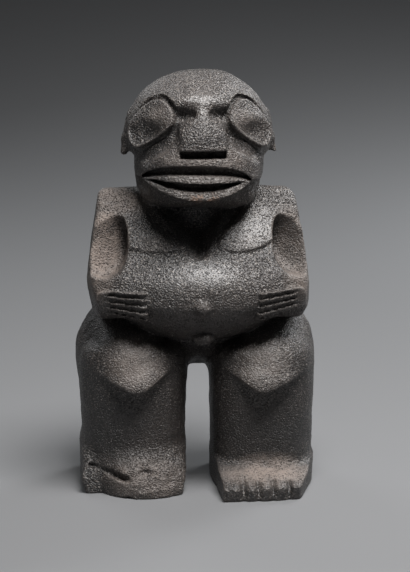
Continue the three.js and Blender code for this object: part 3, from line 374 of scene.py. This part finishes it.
# ---------------------------------------------------------------- tracing the surface
def trace(f, lo, hi, h, blk=4, slack=1.6):
    lo = np.array(lo, float)
    hi = np.array(hi, float)
    n = np.ceil((hi - lo) / (h * blk)).astype(int)
    s = h * blk
    ix, iy, iz = np.meshgrid(*[np.arange(k) for k in n], indexing="ij")
    c = lo + (np.stack([ix, iy, iz], -1) + 0.5) * s
    d = f(c[..., 0].ravel(), c[..., 1].ravel(), c[..., 2].ravel()).reshape(ix.shape)
    # the steps at the lips are steeper than a true distance
    lips = np.where((c[..., 1] < -25) & (c[..., 2] > 265) & (c[..., 2] < 335), 16.0, 0.0)
    near = np.abs(d) < s * 0.87 * slack + h + lips + 2.5
    field = np.repeat(np.repeat(np.repeat(np.where(d < 0, -1e3, 1e3), blk, 0), blk, 1), blk, 2)
    field = np.pad(field, ((0, 1),) * 3, mode="edge")
    wanted = np.zeros(tuple(n * blk + 1), bool)
    blocks = np.argwhere(near)
    off = np.stack(np.meshgrid(*[np.arange(blk + 1)] * 3, indexing="ij"), -1).reshape(-1, 3)
    for k in range(0, len(blocks), 20000):
        g = (blocks[k:k + 20000, None, :] * blk + off[None]).reshape(-1, 3)
        wanted[g[:, 0], g[:, 1], g[:, 2]] = True
    idx = np.argwhere(wanted)
    vals = np.empty(len(idx))
    for k in range(0, len(idx), 400000):
        p = lo + idx[k:k + 400000] * h
        vals[k:k + 400000] = f(p[:, 0], p[:, 1], p[:, 2])
    field[idx[:, 0], idx[:, 1], idx[:, 2]] = vals
    return skin(field, lo, h)


def skin(field, lo, h):
    inside = field < 0
    nx, ny, nz = [k - 1 for k in field.shape]
    count = np.zeros((nx, ny, nz), np.int8)
    corners = [(a, b, c) for a in (0, 1) for b in (0, 1) for c in (0, 1)]
    for a, b, c in corners:
        count += inside[a:a + nx, b:b + ny, c:c + nz]
    cells = np.argwhere((count > 0) & (count < 8))
    number = -np.ones((nx, ny, nz), np.int64)
    number[cells[:, 0], cells[:, 1], cells[:, 2]] = np.arange(len(cells))
    total = np.zeros((len(cells), 3))
    hits = np.zeros(len(cells))
    for p in corners:
        for q in corners:
            if not (p < q and sum(abs(i - j) for i, j in zip(p, q)) == 1):
                continue
            vp = field[cells[:, 0] + p[0], cells[:, 1] + p[1], cells[:, 2] + p[2]]
            vq = field[cells[:, 0] + q[0], cells[:, 1] + q[1], cells[:, 2] + q[2]]
            m = (vp < 0) != (vq < 0)
            t = np.where(m, vp / np.where(m, vp - vq, 1.0), 0.0)
            point = np.array(p, float) + t[:, None] * (np.array(q, float) - np.array(p, float))
            total[m] += point[m]
            hits[m] += 1
    verts = lo + (cells + total / hits[:, None]) * h
    quads = []
    for axis in range(3):
        b, c = (axis + 1) % 3, (axis + 2) % 3
        first = [slice(None)] * 3
        second = [slice(None)] * 3
        first[axis] = slice(0, -1)
        second[axis] = slice(1, None)
        e = np.argwhere(inside[tuple(first)] != inside[tuple(second)])
        lim = np.array([nx, ny, nz])
        e = e[(e[:, b] > 0) & (e[:, c] > 0) & (e[:, b] < lim[b]) & (e[:, c] < lim[c])]
        ins = inside[e[:, 0], e[:, 1], e[:, 2]]

        def cell(db, dc):
            k = e.copy()
            k[:, b] += db
            k[:, c] += dc
            return number[k[:, 0], k[:, 1], k[:, 2]]

        q = np.stack([cell(-1, -1), cell(0, -1), cell(0, 0), cell(-1, 0)], 1)
        q[~ins] = q[~ins][:, ::-1]
        quads.append(q)
    return verts, np.concatenate(quads)


# ---------------------------------------------------------------- hand-worked unevenness
RNG = np.random.default_rng(7)
LATTICE = RNG.random((64, 64, 64))


def noise(x, y, z, size):
    """Smooth noise from -1 to 1, with lumps about size across."""
    p = [v / size + 31.7 for v in (x, y, z)]
    i = [np.floor(v).astype(int) for v in p]
    w = [v - k for v, k in zip(p, i)]
    w = [v * v * v * (v * (v * 6 - 15) + 10) for v in w]
    out = 0.0
    for a in (0, 1):
        for b in (0, 1):
            for c in (0, 1):
                g = LATTICE[(i[0] + a) % 64, (i[1] + b) % 64, (i[2] + c) % 64]
                out = out + g * (w[0] if a else 1 - w[0]) * (w[1] if b else 1 - w[1]) * (w[2] if c else 1 - w[2])
    return out * 2 - 1


def pecks(x, y, z, size, share, seed):
    """Round dents, one in some cells of a lattice size across: 0 outside them, 1 at their middle."""
    out = np.zeros_like(x)
    base = [np.floor(v / size).astype(int) for v in (x, y, z)]
    for a in (-1, 0, 1):
        for b in (-1, 0, 1):
            for c in (-1, 0, 1):
                i, j, k = base[0] + a, base[1] + b, base[2] + c
                g = LATTICE[(i + seed) % 64, (j + 3 * seed) % 64, (k + 5 * seed) % 64]
                h = LATTICE[(i + 17 + seed) % 64, (j + 29) % 64, (k + 41) % 64]
                m = LATTICE[(i + 5) % 64, (j + 11 + seed) % 64, (k + 23) % 64]
                r = size * (0.28 + 0.3 * h)
                q = ((x - (i + 0.2 + 0.6 * h) * size) ** 2 + (y - (j + 0.2 + 0.6 * m) * size) ** 2
                     + (z - (k + 0.2 + 0.6 * g * 3 % 1) * size) ** 2) / (r * r)
                out = np.maximum(out, np.where(g < share, np.clip(1 - q, 0, 1), 0.0))
    return out


def worked(x, y, z):
    """How far the tooled skin lies below the true one."""
    smooth = np.clip(bump((x - 50) / 38) * bump((z - 262) / 26) * (y < -10) * 1.0
                     + 0.8 * bump((x + 60) / 34) * bump((z - 132) / 22) + 0.7 * bump((x - 62) / 34) * bump((z - 132) / 22), 0, 1)
    rough = 1 - 0.7 * smooth
    d = 0.45 * noise(x, y, z, 17.0) + 0.28 * noise(x + 9, y, z, 7.0) * rough
    d = d + rough * (0.55 * pecks(x, y, z, 6.5, 0.55, 3) + 0.28 * pecks(x, y, z, 3.6, 0.6, 11))
    # the broken foot: a coarse, stepped break
    broken = sstep(36.0, 26.0, z) * sstep(-38.0, -56.0, y) * (x < -3)
    step = noise(x * 0.7, y * 0.7, z, 9.0)
    d = d + broken * (0.35 + 0.65 * sstep(-88.0, -70.0, x)) * (1.4 * noise(x, y, z, 12.0) + 1.3 * np.abs(step) + 0.5 * noise(x, y, z, 4.5))
    return d


def carving(x, y, z):
    d = shape(x, y, z)
    near = np.abs(d) < 8
    out = d.copy()
    out[near] += worked(x[near], y[near], z[near])
    return np.maximum(out, -z)


def piece(name, verts, faces, material):
    mesh = bpy.data.meshes.new(name)
    mesh.from_pydata((verts / 1000).tolist(), [], faces.tolist())
    mesh.update()
    mesh.polygons.foreach_set("use_smooth", np.ones(len(mesh.polygons), bool))
    mesh.materials.append(material)
    obj = bpy.data.objects.new(name, mesh)
    bpy.context.scene.collection.objects.link(obj)
    return obj


# ---------------------------------------------------------------- stone
def stone():
    mat = bpy.data.materials.new("basalt")
    mat.use_nodes = True
    tree = mat.node_tree
    nodes, links = tree.nodes, tree.links
    skin_node = nodes["Principled BSDF"]

    def node(kind, **values):
        n = nodes.new(kind)
        for key, v in values.items():
            if hasattr(n, key):
                setattr(n, key, v)
            else:
                n.inputs[key.replace("_", " ")].default_value = v
        return n

    def ramp(source, stops, mode="LINEAR"):
        n = nodes.new("ShaderNodeValToRGB")
        n.color_ramp.interpolation = mode
        while len(n.color_ramp.elements) < len(stops):
            n.color_ramp.elements.new(0.5)
        for e, (at, colour) in zip(n.color_ramp.elements, stops):
            e.position = at
            e.color = (*colour, 1) if len(colour) == 3 else colour
        links.new(source, n.inputs[0])
        return n.outputs[0]

    def grey(source, *stops):
        return ramp(source, [(at, (v, v, v)) for at, v in stops])

    def mix(a, b, factor, blend="MIX"):
        n = nodes.new("ShaderNodeMix")
        n.data_type = "RGBA"
        n.blend_type = blend
        for socket, v in ((n.inputs[6], a), (n.inputs[7], b), (n.inputs[0], factor)):
            if isinstance(v, bpy.types.NodeSocket):
                links.new(v, socket)
            elif isinstance(v, tuple):
                socket.default_value = (*v, 1)
            else:
                socket.default_value = v
        return n.outputs[2]

    def maths(op, a, b=None):
        n = nodes.new("ShaderNodeMath")
        n.operation = op
        for socket, v in zip(n.inputs, (a, b)):
            if isinstance(v, bpy.types.NodeSocket):
                links.new(v, socket)
            elif v is not None:
                socket.default_value = v
        return n.outputs[0]

    where_at = nodes.new("ShaderNodeTexCoord").outputs["Object"]

    def texture(scale, detail=2.0, rough=0.5, shift=(0, 0, 0)):
        at = nodes.new("ShaderNodeMapping")
        at.inputs["Location"].default_value = shift
        links.new(where_at, at.inputs["Vector"])
        n = nodes.new("ShaderNodeTexNoise")
        n.inputs["Scale"].default_value = scale
        n.inputs["Detail"].default_value = detail
        n.inputs["Roughness"].default_value = rough
        links.new(at.outputs[0], n.inputs["Vector"])
        return n.outputs["Fac"]

    def spot(centre, radii, soft=0.5):
        """1 inside a rounded patch of the stone, falling to 0 outside."""
        at = nodes.new("ShaderNodeMapping")
        at.vector_type = "POINT"
        at.inputs["Scale"].default_value = tuple(1 / r for r in radii)
        at.inputs["Location"].default_value = tuple(-c / r for c, r in zip(centre, radii))
        links.new(where_at, at.inputs["Vector"])
        n = nodes.new("ShaderNodeVectorMath")
        n.operation = "LENGTH"
        links.new(at.outputs[0], n.inputs[0])
        return grey(n.outputs["Value"], (1 - soft, 1.0), (1.0, 0.0))

    def union(*masks):
        out = masks[0]
        for m in masks[1:]:
            out = maths("MAXIMUM", out, m)
        return out

    grain = texture(600, 1.5, 0.6)
    fine = texture(640, 1.5, 0.6, (3, 1, 2))
    patch = texture(22, 4, 0.6, (1, 5, 2))
    broad = texture(7, 2, 0.5, (4, 2, 7))
    pits = nodes.new("ShaderNodeTexVoronoi")
    pits.inputs["Scale"].default_value = 500
    links.new(where_at, pits.inputs["Vector"])
    pit = grey(pits.outputs["Distance"], (0.16, 1.0), (0.42, 0.0))
    some = grey(texture(90, 3, 0.6, (9, 9, 1)), (0.36, 0.4), (0.54, 1.0))
    pit = maths("MULTIPLY", pit, some)

    # parts that are rubbed smooth; painted shade on the shins and under the belly; and pale spots, partly paler pecked
    # stone and partly painted light
    rubbed = union(spot((0.052, -0.03, 0.262), (0.045, 0.05, 0.034), 0.6),
                   spot((0.0, -0.066, 0.222), (0.07, 0.04, 0.028), 0.6),
                   spot((-0.063, -0.05, 0.132), (0.042, 0.04, 0.034), 0.6),
                   spot((0.055, -0.05, 0.134), (0.042, 0.04, 0.034), 0.6),
                   spot((0.002, -0.045, 0.385), (0.026, 0.03, 0.022), 0.6))
    # painted shade on the shins and under the belly
    painted_shade = union(spot((-0.064, -0.05, 0.062), (0.062, 0.05, 0.042), 0.4), spot((0.064, -0.05, 0.062), (0.062, 0.05, 0.042), 0.4),
                 spot((0.002, -0.075, 0.172), (0.075, 0.05, 0.028), 0.5))
    # pale spots: partly paler pecked stone, partly painted light where the knee tops, breast plates, lips and arm
    # scoops catch the lamp
    pale = union(spot((-0.090, -0.016, 0.243), (0.026, 0.032, 0.042), 0.35),
                 maths("MULTIPLY", spot((0.092, -0.016, 0.243), (0.024, 0.032, 0.042), 0.35), 0.38),
                 maths("MULTIPLY", spot((-0.078, -0.004, 0.288), (0.045, 0.045, 0.024), 0.5), 0.5),
                 maths("MULTIPLY", spot((-0.103, -0.03, 0.208), (0.025, 0.04, 0.022), 0.6), 0.8),
                 maths("MULTIPLY", spot((0.100, -0.03, 0.208), (0.025, 0.04, 0.022), 0.6), 0.6),
                 maths("MULTIPLY", spot((-0.042, -0.045, 0.368), (0.026, 0.03, 0.02), 0.6), 0.45),
                 maths("MULTIPLY", spot((0.048, -0.045, 0.366), (0.026, 0.03, 0.02), 0.6), 0.35),
                 maths("MULTIPLY", spot((-0.063, -0.055, 0.130), (0.036, 0.04, 0.034), 0.7), 0.46),
                 maths("MULTIPLY", spot((0.060, -0.055, 0.130), (0.036, 0.04, 0.034), 0.7), 0.32),
                 maths("MULTIPLY", spot((0.002, -0.055, 0.327), (0.062, 0.04, 0.016), 0.5), 0.35),
                 spot((0.068, -0.066, 0.027), (0.062, 0.034, 0.017), 0.5),
                 maths("MULTIPLY", spot((-0.055, -0.066, 0.018), (0.06, 0.034, 0.026), 0.5), 0.34),
                 maths("MULTIPLY", spot((0.0, -0.065, 0.302), (0.055, 0.03, 0.018), 0.5), 0.2),
                 maths("MULTIPLY", spot((-0.045, -0.055, 0.252), (0.036, 0.035, 0.024), 0.5), 0.28),
                 maths("MULTIPLY", spot((0.050, -0.055, 0.252), (0.036, 0.035, 0.024), 0.5), 0.22),
                 maths("MULTIPLY", spot((0.0, 0.0, 0.405), (0.07, 0.06, 0.03), 0.7), 0.04))
    pale = maths("MULTIPLY", pale, grey(texture(75, 3, 0.6, (2, 8, 3)), (0.32, 0.45), (0.55, 1.0)))

    colour = ramp(patch, [(0.30, (0.007, 0.006, 0.0058)), (0.50, (0.011, 0.0093, 0.0089)), (0.70, (0.018, 0.015, 0.0139))])
    warm = maths("MULTIPLY", grey(broad, (0.42, 0.0), (0.66, 1.0)), 0.5)
    colour = mix(colour, (0.034, 0.022, 0.016), warm)
    # paler stone together with painted light, from the pale spots
    colour = mix(colour, (0.235, 0.188, 0.160), maths("MULTIPLY", pale, 0.9))
    # the pale flecks are dimmed where the painted shade lies
    flecks = maths("MULTIPLY", grey(fine, (0.585, 0.0), (0.64, 0.85)), maths("SUBTRACT", 1.0, maths("MULTIPLY", painted_shade, 0.7)))
    colour = mix(colour, (0.205, 0.180, 0.160), flecks)
    # painted shade in the small dents, weaker where the stone is rubbed smooth
    colour = mix(colour, (0.006, 0.005, 0.005), maths("MULTIPLY", pit, maths("SUBTRACT", 0.8, maths("MULTIPLY", rubbed, 0.6))))
    edges = nodes.new("ShaderNodeNewGeometry").outputs["Pointiness"]
    # painted highlight along the convex edges, then painted shade in the creases
    colour = mix(colour, (0.13, 0.112, 0.100), grey(edges, (0.515, 0.0), (0.57, 0.6)))
    colour = mix(colour, (0.006, 0.005, 0.005), grey(edges, (0.36, 0.8), (0.48, 0.0)))
    chipped = maths("MULTIPLY", spot((0.005, -0.060, 0.2905), (0.021, 0.03, 0.0085), 0.5), grey(texture(160, 3, 0.6, (2, 7, 7)), (0.46, 0.0), (0.56, 1.0)))
    colour = mix(colour, (0.17, 0.095, 0.055), maths("MULTIPLY", chipped, 0.75))
    links.new(colour, skin_node.inputs["Base Color"])

    rough = grey(texture(60, 3, 0.6, (6, 1, 1)), (0.3, 0.42), (0.7, 0.54))
    rough = mix(rough, (0.45, 0.45, 0.45), maths("MULTIPLY", rubbed, 0.7))
    rough = mix(rough, (0.95, 0.95, 0.95), union(maths("MULTIPLY", pit, maths("SUBTRACT", 1.0, maths("MULTIPLY", rubbed, 0.6))), maths("MULTIPLY", pale, 0.6)))
    links.new(rough, skin_node.inputs["Roughness"])
    skin_node.inputs["Specular IOR Level"].default_value = 0.95

    height = maths("ADD", maths("MULTIPLY", grain, 1.0), maths("MULTIPLY", pit, -0.9))
    height = maths("ADD", height, maths("MULTIPLY", fine, 0.35))
    height = maths("ADD", height, maths("MULTIPLY", texture(200, 2, 0.5, (5, 5, 5)), 0.4))
    relief = nodes.new("ShaderNodeBump")
    strength = grey(rubbed, (0.0, 1.0), (1.0, 0.4))
    links.new(strength, relief.inputs["Strength"])
    relief.inputs["Distance"].default_value = 0.0015
    links.new(height, relief.inputs["Height"])
    links.new(relief.outputs[0], skin_node.inputs["Normal"])
    return mat


# ---------------------------------------------------------------- the piece
verts, quads = trace(carving, (-131, -112, -7.1), (131, 86, 418), GRID)
verts = verts - np.array([MIDDLE[0], MIDDLE[1], 0.0])
verts[:, 2] = np.where(verts[:, 2] < 0.5, 0.0, verts[:, 2])
tiki = piece("tiki", verts, quads, stone())
bpy.context.view_layer.objects.active = tiki
lean = tiki.modifiers.new("lean", "DECIMATE")
lean.ratio = min(1.0, TRIANGLES / (2 * len(quads)))
slim = bpy.data.meshes.new_from_object(tiki.evaluated_get(bpy.context.evaluated_depsgraph_get()))
tiki.modifiers.clear()
tiki.data = slim
slim.name = "tiki"
print("TIKI", len(quads), len(slim.polygons), "bounds", verts.min(0), verts.max(0))
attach(tiki, "root")
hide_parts("stone_tiki")


# ---------------------------------------------------------------- floor, light and camera
def plain(name, colour, rough):
    mat = bpy.data.materials.new(name)
    mat.use_nodes = True
    s = mat.node_tree.nodes["Principled BSDF"]
    s.inputs["Base Color"].default_value = (*colour, 1)
    s.inputs["Roughness"].default_value = rough
    return mat


# a floor that curves up into a backdrop far behind
HALF, NEAR, BEND, ROUND, TOP = 14.0, -14.0, 1.5, 7.0, 9.0
rail = [(NEAR, 0.0)] + [(BEND + ROUND * math.sin(a), ROUND * (1 - math.cos(a))) for a in np.linspace(0, math.pi / 2, 49)]
rail.append((BEND + ROUND, TOP))
sweep = np.array([(side * HALF, y, z) for y, z in rail for side in (-1, 1)]) * 1000.0
ground = piece("floor", sweep, np.array([(2 * k, 2 * k + 1, 2 * k + 3, 2 * k + 2) for k in range(len(rail) - 1)]),
               plain("pale floor", (0.18, 0.1835, 0.189), 0.85))


def soft(name, place, width, height, watts, colour=(1, 1, 1), aim=(0, 0, 0.2)):
    lamp = bpy.data.lights.new(name, "AREA")
    lamp.shape = "RECTANGLE"
    lamp.size = width
    lamp.size_y = height
    lamp.energy = watts
    lamp.color = colour
    obj = bpy.data.objects.new(name, lamp)
    bpy.context.scene.collection.objects.link(obj)
    obj.location = place
    obj.rotation_mode = "QUATERNION"
    obj.rotation_quaternion = (Vector(aim) - Vector(place)).to_track_quat("-Z", "Y")


soft("overhead", (0.26, -0.45, 1.53), 0.85, 0.55, 42, (1.0, 0.985, 0.975))
soft("left", (-1.4, -0.25, 0.9), 0.4, 0.9, 0.7, (1.0, 0.97, 0.94))
soft("right", (1.4, -0.15, 0.9), 0.4, 0.9, 0.9, (0.96, 0.98, 1.0))
soft("floor wash", (1.5, 1.5, 1.4), 0.9, 0.9, 36, (0.98, 0.99, 1.0), (0.8, 1.6, 0.0))

soft("behind", (-0.9, 1.7, 1.5), 0.9, 0.9, 10, (0.97, 0.985, 1.0), (0, 0, 0.25))

world = bpy.data.worlds.new("studio")
world.use_nodes = True
world.node_tree.nodes["Background"].inputs[0].default_value = (0.36, 0.38, 0.40, 1)
world.node_tree.nodes["Background"].inputs[1].default_value = 0.015
bpy.context.scene.world = world
bpy.context.scene.view_settings.view_transform = "Standard"

AZ, EL, FAR = math.radians(-4.0), math.radians(10.0), 1.7
AIM = Vector((0.007 - MIDDLE[0] / 1000, -MIDDLE[1] / 1000, 0.195))
back = Vector((math.sin(AZ) * math.cos(EL), -math.cos(AZ) * math.cos(EL), math.sin(EL)))
camera = bpy.data.objects.new("camera", bpy.data.cameras.new("camera"))
bpy.context.scene.collection.objects.link(camera)
camera.data.sensor_width = 36
camera.data.sensor_fit = "AUTO"
camera.data.lens = 36 * FAR / 0.572
camera.location = AIM + back * FAR
camera.rotation_mode = "QUATERNION"
camera.rotation_quaternion = (-back).to_track_quat("-Z", "Y")
bpy.context.scene.camera = camera

bpy.context.view_layer.update()
